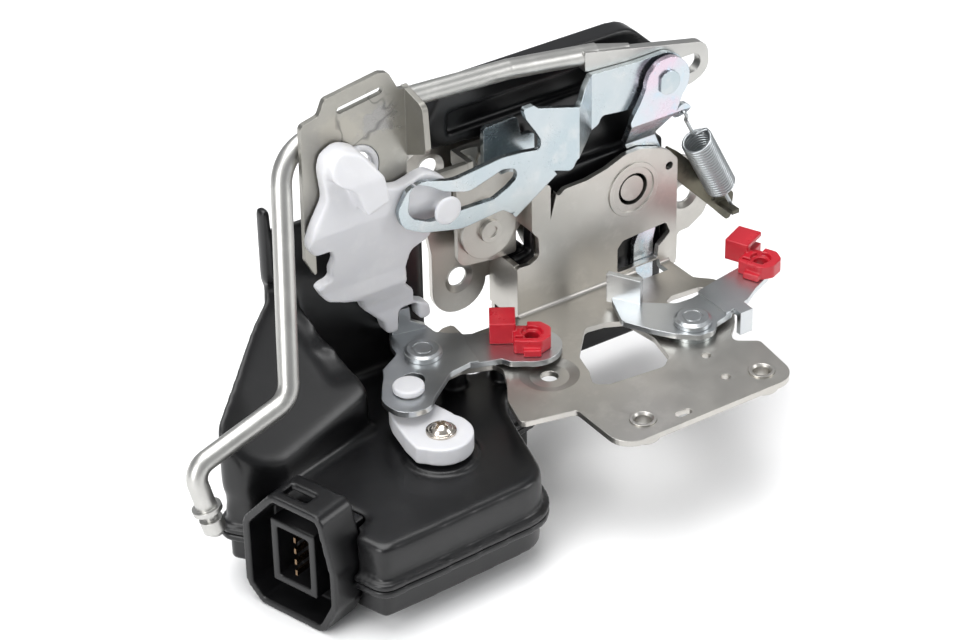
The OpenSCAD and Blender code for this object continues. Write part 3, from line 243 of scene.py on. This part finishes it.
def buildStreakGroup(s):
    # thin dark wandering lines inside a soft round patch: painted dark reflection on the bracket
    tree, entry, leave = newGroup(
        "painted reflection streaks",
        [("Centre", "NodeSocketVector", (0.0, 0.0, 0.0)), ("Radius", "NodeSocketFloat", 0.014),
         ("Scale", "NodeSocketFloat", 55.0), ("Width", "NodeSocketFloat", 0.02)],
        [("Mask", "NodeSocketFloat")])
    given = entry.outputs
    place = objectPlace(tree)
    ratio = mathNode(tree, "DIVIDE", vectorNode(tree, "DISTANCE", place, given["Centre"]), given["Radius"])
    inside = spanNode(tree, ratio, s["streakRim"], 1.0, 1.0, 0.0)
    wander = noiseNode(tree, place, given["Scale"], 3.0, 0.6)
    off = mathNode(tree, "ABSOLUTE", mathNode(tree, "SUBTRACT", wander.outputs[0], 0.5), 0.0)
    line = mathNode(tree, "SUBTRACT", 1.0, mathNode(tree, "DIVIDE", off, given["Width"]), True)
    link(tree, mathNode(tree, "MULTIPLY", line, inside), leave.inputs["Mask"])
    return tree


tintDrift = buildCloudGroup(patterns)
fineGrain = buildGrainGroup(patterns)
raggedSpot = buildSpotGroup(patterns)
greaseStreaks = buildStreakGroup(patterns)


def useGroup(tree, group, **values):
    node = tree.nodes.new("ShaderNodeGroup")
    node.node_tree = group
    for name, value in values.items():
        link(tree, value, node.inputs[name])
    return node


def addSpots(tree, spots, colour, rough):
    for spot in spots:
        # each spot mixes a painted reflection patch into the colour and the roughness
        stain = useGroup(tree, raggedSpot, Centre=fromBend(*spot["at"]), Radius=spot["r"] * mm,
                         Ragged=spot["ragged"], Scale=spot["scale"]).outputs["Mask"]
        colour = mixColour(tree, mathNode(tree, "MULTIPLY", stain, spot["share"]), colour, spot["colour"])
        rough = mathNode(tree, "ADD", rough, mathNode(tree, "MULTIPLY", stain, spot.get("rough", 0.0)), True)
    return colour, rough


def addStreaks(tree, streaks, colour):
    for streak in streaks:
        # each streak mixes painted dark reflection lines into the colour
        lines = useGroup(tree, greaseStreaks, Centre=fromBend(*streak["at"]), Radius=streak["r"] * mm,
                         Scale=streak["scale"], Width=streak["width"]).outputs["Mask"]
        share = mathNode(tree, "MULTIPLY", lines, streak["share"])
        colour = mixColour(tree, share, colour, streak["colour"])
    return colour


def makeFinish(name, look):
    mat = bpy.data.materials.new(name)
    mat.use_nodes = True
    tree = mat.node_tree
    shader = tree.nodes["Principled BSDF"]
    shader.inputs["Metallic"].default_value = look["metal"]
    shader.inputs["IOR"].default_value = look.get("ior", 1.5)
    shader.inputs["Subsurface Weight"].default_value = look.get("glow", 0.0)
    shader.inputs["Subsurface Radius"].default_value = glowReach
    shader.inputs["Subsurface Scale"].default_value = 2 * mm
    drift = useGroup(tree, tintDrift, Base=look["base"], Second=look["second"], Third=look["third"],
                     Scale=look["driftScale"], Amount=look["drift"])
    grain = useGroup(tree, fineGrain, Scale=look["grainScale"], Stretch=look.get("stretch", (1, 1, 1)),
                     Roughness=look["rough"], Spread=look["spread"], Scratches=look["marks"])
    colour, rough = addSpots(tree, look.get("spots", []), drift.outputs["Color"], grain.outputs["Roughness"])
    link(tree, addStreaks(tree, look.get("streaks", []), colour), shader.inputs["Base Color"])
    link(tree, rough, shader.inputs["Roughness"])
    bump = tree.nodes.new("ShaderNodeBump")
    bump.inputs["Strength"].default_value = look["bump"]
    bump.inputs["Distance"].default_value = grainDepth
    link(tree, grain.outputs["Height"], bump.inputs["Height"])
    if look["edge"]:
        soft = tree.nodes.new("ShaderNodeBevel")
        soft.samples = 4
        soft.inputs["Radius"].default_value = look["edge"] * mm
        link(tree, soft.outputs[0], bump.inputs["Normal"])
    link(tree, bump.outputs[0], shader.inputs["Normal"])
    return mat


glowReach = (0.6, 0.7, 1.0)  # how far red, green and blue travel inside the plastics
grainDepth = 0.05 * mm
# base, second and third are the tints of the drift; edge is the softened edge's radius in mm
looks = {
    "satin_steel": {"metal": 1.0, "base": (0.50, 0.482, 0.448, 1), "second": (0.41, 0.40, 0.38, 1),
                    "third": (0.57, 0.552, 0.515, 1), "driftScale": 28.0, "drift": 0.5, "grainScale": 900.0,
                    "stretch": (0.35, 1, 1), "rough": 0.36, "spread": 0.09, "marks": 0.25, "bump": 0.25,
                    "edge": 0.35},
    "zinc_steel": {"metal": 1.0, "base": (0.47, 0.515, 0.535, 1), "second": (0.39, 0.465, 0.50, 1),
                   "third": (0.56, 0.575, 0.575, 1), "driftScale": 34.0, "drift": 0.6, "grainScale": 1100.0,
                   "rough": 0.24, "spread": 0.1, "marks": 0.3, "bump": 0.2, "edge": 0.35},
    "iris_zinc": {"metal": 1.0, "base": (0.53, 0.575, 0.61, 1), "second": (0.66, 0.50, 0.59, 1),
                  "third": (0.42, 0.57, 0.66, 1), "driftScale": 46.0, "drift": 0.75, "grainScale": 1000.0,
                  "rough": 0.26, "spread": 0.1, "marks": 0.25, "bump": 0.2, "edge": 0.35},
    "rod_zinc": {"metal": 1.0, "base": (0.50, 0.495, 0.475, 1), "second": (0.40, 0.40, 0.385, 1),
                 "third": (0.60, 0.595, 0.57, 1), "driftScale": 30.0, "drift": 0.5, "grainScale": 700.0,
                 "rough": 0.38, "spread": 0.1, "marks": 0.45, "bump": 0.35, "edge": 0.4},
    "dark_steel": {"metal": 0.85, "base": (0.10, 0.095, 0.075, 1), "second": (0.16, 0.15, 0.11, 1),
                   "third": (0.06, 0.06, 0.05, 1), "driftScale": 60.0, "drift": 0.7, "grainScale": 800.0,
                   "rough": 0.36, "spread": 0.12, "marks": 0.3, "bump": 0.3, "edge": 0.3},
    "black_plastic": {"metal": 0.0, "base": (0.0035, 0.0035, 0.004, 1), "second": (0.006, 0.006, 0.0065, 1),
                      "third": (0.009, 0.009, 0.0095, 1), "driftScale": 26.0, "drift": 0.5,
                      "grainScale": 1500.0, "rough": 0.31, "spread": 0.06, "marks": 0.1, "bump": 0.16,
                      "edge": 0.6, "ior": 1.46},
    "white_nylon": {"metal": 0.0, "base": (0.61, 0.61, 0.625, 1), "second": (0.555, 0.56, 0.585, 1),
                    "third": (0.66, 0.66, 0.665, 1), "driftScale": 30.0, "drift": 0.5, "grainScale": 900.0,
                    "rough": 0.34, "spread": 0.08, "marks": 0.1, "bump": 0.15, "edge": 0.6, "glow": 0.12},
    "red_plastic": {"metal": 0.0, "base": (0.47, 0.010, 0.022, 1), "second": (0.40, 0.008, 0.018, 1),
                    "third": (0.56, 0.024, 0.032, 1), "driftScale": 50.0, "drift": 0.5, "grainScale": 900.0,
                    "rough": 0.3, "spread": 0.08, "marks": 0.1, "bump": 0.15, "edge": 0.4, "glow": 0.05},
    "nickel": {"metal": 1.0, "base": (0.66, 0.60, 0.53, 1), "second": (0.58, 0.53, 0.47, 1),
               "third": (0.74, 0.70, 0.64, 1), "driftScale": 90.0, "drift": 0.5, "grainScale": 1400.0,
               "rough": 0.2, "spread": 0.08, "marks": 0.2, "bump": 0.15, "edge": 0.25},
    "copper": {"metal": 1.0, "base": (0.72, 0.60, 0.45, 1), "second": (0.66, 0.52, 0.38, 1),
               "third": (0.78, 0.72, 0.62, 1), "driftScale": 120.0, "drift": 0.6, "grainScale": 1200.0,
               "rough": 0.26, "spread": 0.1, "marks": 0.2, "bump": 0.15, "edge": 0.15},
}
looks["bracket_steel"] = dict(
    looks["satin_steel"], base=(0.34, 0.33, 0.30, 1), second=(0.28, 0.275, 0.255, 1),
    third=(0.40, 0.385, 0.35, 1),
    # painted reflection: a lighter patch at the left, a darker and glossier patch at the right and dark
    # streaks between stand in for the satin sheet reflecting light and dark surroundings
    spots=[{"at": (-52, -2, 93), "r": 7, "ragged": 1.0, "scale": 170.0, "share": 0.5,
            "colour": (0.23, 0.23, 0.24, 1), "rough": -0.12},
           {"at": (-66, -2, 93), "r": 9, "ragged": 0.8, "scale": 120.0, "share": 0.35,
            "colour": (0.45, 0.42, 0.36, 1)}],
    streaks=[{"at": (-58, -2, 92), "r": 15, "scale": 34.0, "width": 0.012, "share": 0.6,
              "colour": (0.08, 0.08, 0.08, 1)}])
looks["crank_zinc"] = dict(
    looks["zinc_steel"], base=(0.55, 0.57, 0.58, 1), second=(0.48, 0.50, 0.52, 1),
    third=(0.60, 0.61, 0.61, 1), rough=0.33, spread=0.06, marks=0.1, bump=0.1)
looks["pin_copper"] = dict(
    looks["copper"], base=(0.20, 0.13, 0.075, 1), second=(0.16, 0.10, 0.06, 1),
    third=(0.26, 0.19, 0.12, 1))
looks["spring_steel"] = dict(
    looks["zinc_steel"], base=(0.40, 0.42, 0.43, 1), second=(0.34, 0.36, 0.37, 1),
    third=(0.46, 0.47, 0.47, 1), rough=0.34, marks=0.0, bump=0.05, edge=0.0)
materials = {name: makeFinish(name.replace("_", " "), look) for name, look in looks.items()}
print("finishes made:", len(materials))

# pieces whose look is finer than their material slot
ownFinish = {"lever_bracket": "bracket_steel", "bent_rod": "rod_zinc", "lock_crank": "crank_zinc",
             "handle_crank": "crank_zinc", "crank_rivets": "crank_zinc", "plug_pins": "pin_copper"}
slotOf = {row["node"]: row["material_slot"] for row in frame["record"]["subparts"]}
for name, obj in frame["nodes"].items():
    chosen = materials[ownFinish.get(name, slotOf[name])]
    for place in obj.material_slots:
        place.material = chosen
print("CAD pieces dressed")


# the moulded pieces: a skin of even cells, grid mm wide, blurred "passes" times to round its edges
# deep adds passes above a height, except near the places in clear, given as x, y and radius
mouldings = {
    "lock_lever": {"grid": 0.38, "passes": 12},
    "output_arm": {"grid": 0.3, "passes": 9},
    "lock_rod_clip": {"grid": 0.2, "passes": 3},
    "handle_rod_clip": {"grid": 0.2, "passes": 3},
    "actuator_case": {"grid": 0.6, "passes": 3, "deep": 46, "above": -18.5, "fade": 3,
                      "clear": [(-55.5, -38.3, 14.5), (-15, -13, 7), (-31, -7.5, 7)]},
    "actuator_cover": {"grid": 0.6, "passes": 5},
    "latch_housing": {"grid": 0.6, "passes": 4},
    "plug_shroud": {"grid": 0.4, "passes": 3},
}


blurStep = 0.6  # how much of the way to its neighbours' middle a point moves in one pass
keptFaces = 0.45  # share of the skin's faces that are kept


def pointsOf(mesh):
    places = np.empty(len(mesh.vertices) * 3)
    mesh.vertices.foreach_get("co", places)
    return places.reshape(-1, 3)


def blurSkin(mesh, share, passes):
    # each point moves towards the middle of its neighbours: flats stay, edges round off
    places = pointsOf(mesh)
    count = len(places)
    ends = np.empty(len(mesh.edges) * 2, dtype=np.int64)
    mesh.edges.foreach_get("vertices", ends)
    first, second = ends.reshape(-1, 2).T
    around = np.maximum(np.bincount(first, minlength=count) + np.bincount(second, minlength=count), 1)
    for _ in range(passes):
        for k in range(3):
            total = (np.bincount(first, places[second, k], count)
                     + np.bincount(second, places[first, k], count))
            places[:, k] += blurStep * share * (total / around - places[:, k])
    mesh.vertices.foreach_set("co", places.ravel())
    mesh.update()


def deepShare(mesh, s):
    # how much of the deep blur each point takes: the top rims do, bosses and screw posts don't
    places = pointsOf(mesh)
    fade = s["fade"] * mm
    share = np.clip((places[:, 2] - fromBend(0, 0, s["above"]).z) / fade, 0, 1)
    for x, y, r in s["clear"]:
        at = fromBend(x, y, 0)
        away = np.hypot(places[:, 0] - at.x, places[:, 1] - at.y)
        share *= np.clip((away - r * mm) / fade, 0, 1)
    return share


def addPiece(name, mesh):
    piece = bpy.data.objects.new(name, mesh)
    bpy.context.scene.collection.objects.link(piece)
    return piece


def bakedMesh(piece):
    return bpy.data.meshes.new_from_object(piece.evaluated_get(bpy.context.evaluated_depsgraph_get()))


def mouldedCopy(node, s):
    source = frame["nodes"][node]
    rough = addPiece(node + "_rough", source.data.copy())
    skin = rough.modifiers.new("even skin", "REMESH")
    skin.mode = "VOXEL"
    skin.voxel_size = s["grid"] * mm
    even = bakedMesh(rough)
    if "deep" in s:
        blurSkin(even, deepShare(even, s), s["deep"])
    blurSkin(even, 1.0, s["passes"])
    bpy.data.objects.remove(rough)
    piece = addPiece(node + "_moulded", even)
    piece.modifiers.new("fewer faces", "DECIMATE").ratio = keptFaces
    mesh = bakedMesh(piece)
    piece.modifiers.clear()
    piece.data = mesh
    mesh.name = piece.name
    mesh.polygons.foreach_set("use_smooth", [True] * len(mesh.polygons))
    mesh.materials.clear()
    mesh.materials.append(materials[ownFinish.get(node, slotOf[node])])
    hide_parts(node)
    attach(piece, source["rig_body"])
    return piece


moulded = {node: mouldedCopy(node, s) for node, s in mouldings.items()}
print("mouldings rounded:", {node: len(piece.data.polygons) for node, piece in moulded.items()})


# the coil spring with its two hooks, built in one fixed pose (the real one stretches as the release lever
# turns), lengths in mm
# firstShare is where the coil starts along the spring, lead and tail are its run-in and run-out
springSizes = {
    "top": fromBend(64.6, -4.8, 56.8), "foot": fromBend(88.7, -0.4, 13.4), "coil": 11.2, "wire": 1.3,
    "turns": 21, "firstShare": 0.23, "stub": 0.4, "lead": 3.0, "leadRun": 2.6, "leadShare": 0.98, "tail": 2.4,
    "turnSteps": 28, "endSteps": 6, "hookSteps": 5, "tailSteps": 3, "tubeSides": 10,
    "hook": [(63.5, -1.2, 58.2), (62.9, -1.2, 59.6), (62.8, -2.8, 60.7), (63.0, -4.6, 60.8),
             (63.2, -6.4, 60.3), (63.8, -6.6, 58.8), (64.4, -5.5, 57.6)],
}


def tubeAlong(points, radius, sides, name):
    mesh = bpy.data.meshes.new(name)
    shape = bmesh.new()
    rings = []
    side = (points[1] - points[0]).normalized().orthogonal().normalized()
    angles = [2 * math.pi * k / sides for k in range(sides)]
    for i, point in enumerate(points):
        ahead = (points[min(i + 1, len(points) - 1)] - points[max(i - 1, 0)]).normalized()
        side = (side - ahead * side.dot(ahead)).normalized()
        other = ahead.cross(side)
        rings.append([shape.verts.new(point + radius * (math.cos(a) * side + math.sin(a) * other))
                      for a in angles])
    for low, high in zip(rings, rings[1:]):
        for k in range(sides):
            shape.faces.new((low[k], low[(k + 1) % sides], high[(k + 1) % sides], high[k]))
    shape.faces.new(list(reversed(rings[0])))
    shape.faces.new(rings[-1])
    for face in shape.faces:
        face.smooth = len(face.verts) == 4
    shape.to_mesh(mesh)
    shape.free()
    return addPiece(name, mesh)


def smoothPath(points, parts):
    # a Catmull-Rom curve through the points, with parts steps between each two
    ends = [points[0] * 2 - points[1], *points, points[-1] * 2 - points[-2]]
    out = []
    for a, b, c, d in zip(ends, ends[1:], ends[2:], ends[3:]):
        for k in range(parts):
            t = k / parts
            out.append(0.5 * (2 * b + (c - a) * t + (2 * a - 5 * b + 4 * c - d) * t * t
                              + (3 * b - a - 3 * c + d) * t ** 3))
    return out + [points[-1]]


def makeSpring(s):
    along = s["foot"] - s["top"]
    length = along.length
    axis = along.normalized()
    side = axis.cross(Vector((0, 1, 0))).normalized()
    other = axis.cross(side)
    ringR = (s["coil"] - s["wire"]) / 2 * mm
    pitch = s["wire"] * mm
    start = s["firstShare"] * length + pitch / 2
    lead, leadRun, tail = s["lead"] * mm, s["leadRun"] * mm, s["tail"] * mm
    ends = s["endSteps"]

    def at(far, across=0.0):
        return s["top"] + axis * far + side * across

    points = smoothPath([fromBend(*place) for place in s["hook"]] + [at(s["stub"] * mm)], s["hookSteps"])
    points += [at((start - lead) * k / ends) for k in range(1, ends)]
    for k in range(ends + 1):
        t = k / ends
        points.append(at(start - lead + leadRun * t, ringR * math.sin(t * math.pi / 2) * s["leadShare"]))
    for k in range(s["turnSteps"] * (s["turns"] - 1) + 1):
        a = 2 * math.pi * k / s["turnSteps"]
        out = math.cos(a) * side + math.sin(a) * other
        points.append(at(start + pitch * k / s["turnSteps"]) + ringR * out)
    end = start + pitch * (s["turns"] - 1)
    for k in range(1, ends + 1):
        t = k / ends
        points.append(at(end + tail * t, ringR * math.cos(t * math.pi / 2)))
    rest = length - end - tail
    points += [at(end + tail + rest * k / s["tailSteps"]) for k in range(1, s["tailSteps"] + 1)]
    return tubeAlong(points, s["wire"] / 2 * mm, s["tubeSides"], "release_coil")


spring = makeSpring(springSizes)
spring.data.materials.append(materials["spring_steel"])
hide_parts("release_spring")
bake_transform(spring)
print("spring made")


studio = {
    "floor": {"reach": 6.0, "below": 0.2, "colour": (0.93, 0.93, 0.93, 1), "rough": 0.8},
    "aim": (-0.02, -0.03, 0.02),
    "lamps": [{"name": "top light", "at": (-0.15, 0.05, 1.0), "size": (1.1, 0.9), "watts": 14},
              {"name": "left light", "at": (-1.0, -0.30, 0.45), "size": (0.5, 0.7), "watts": 7},
              {"name": "right light", "at": (0.75, -0.75, 0.45), "size": (0.4, 0.6), "watts": 4}],
    "sky": (0.95, 0.97, 1.0, 1), "skyStrength": 0.4,
}


def makeFloor(s):
    mesh = bpy.data.meshes.new("floor")
    shape = bmesh.new()
    bmesh.ops.create_grid(shape, x_segments=1, y_segments=1, size=s["reach"])
    bmesh.ops.translate(shape, verts=shape.verts, vec=(0, 0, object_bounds()[0].z - s["below"] * mm))
    shape.to_mesh(mesh)
    shape.free()
    floor = addPiece("floor", mesh)
    mat = bpy.data.materials.new("pale floor")
    mat.use_nodes = True
    shader = mat.node_tree.nodes["Principled BSDF"]
    shader.inputs["Base Color"].default_value = s["colour"]
    shader.inputs["Roughness"].default_value = s["rough"]
    floor.data.materials.append(mat)
    floor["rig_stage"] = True


def softBox(s, aim):
    lamp = bpy.data.lights.new(s["name"], "AREA")
    lamp.shape = "RECTANGLE"
    lamp.size, lamp.size_y = s["size"]
    lamp.energy = s["watts"]
    obj = addPiece(s["name"], lamp)
    obj.location = s["at"]
    obj.rotation_mode = "QUATERNION"
    obj.rotation_quaternion = (Vector(s["at"]) - Vector(aim)).to_track_quat("Z", "Y")


def makeSky(s):
    world = bpy.data.worlds.new("studio")
    world.use_nodes = True
    back = world.node_tree.nodes["Background"]
    back.inputs["Color"].default_value = s["sky"]
    back.inputs["Strength"].default_value = s["skyStrength"]
    bpy.context.scene.world = world
    bpy.context.scene.view_settings.view_transform = "Standard"


makeFloor(studio["floor"])
for lamp in studio["lamps"]:
    softBox(lamp, studio["aim"])
makeSky(studio)

# place in metres, angles in degrees, lens and film in mm
cameraView = {"place": (-0.50005, -0.71183, 0.53418), "turn": -33.0, "down": 33.2, "roll": -1.2,
              "lens": 112.1, "film": 36.0, "near": 0.01, "far": 20.0}


def makeCamera(s):
    turn, down, roll = (math.radians(s[k]) for k in ("turn", "down", "roll"))
    right = Vector((math.cos(turn), math.sin(turn), 0))
    back = Vector((math.sin(turn) * math.cos(down), -math.cos(turn) * math.cos(down), math.sin(down)))
    up = back.cross(right)
    across = math.cos(roll) * right + math.sin(roll) * up
    above = -math.sin(roll) * right + math.cos(roll) * up
    data = bpy.data.cameras.new("camera")
    data.lens = s["lens"]
    data.sensor_width = s["film"]
    data.clip_start, data.clip_end = s["near"], s["far"]
    obj = addPiece("camera", data)
    axes = Matrix((across, above, back)).transposed()
    obj.matrix_world = Matrix.Translation(Vector(s["place"])) @ axes.to_4x4()
    bpy.context.scene.camera = obj


makeCamera(cameraView)
print("studio made")
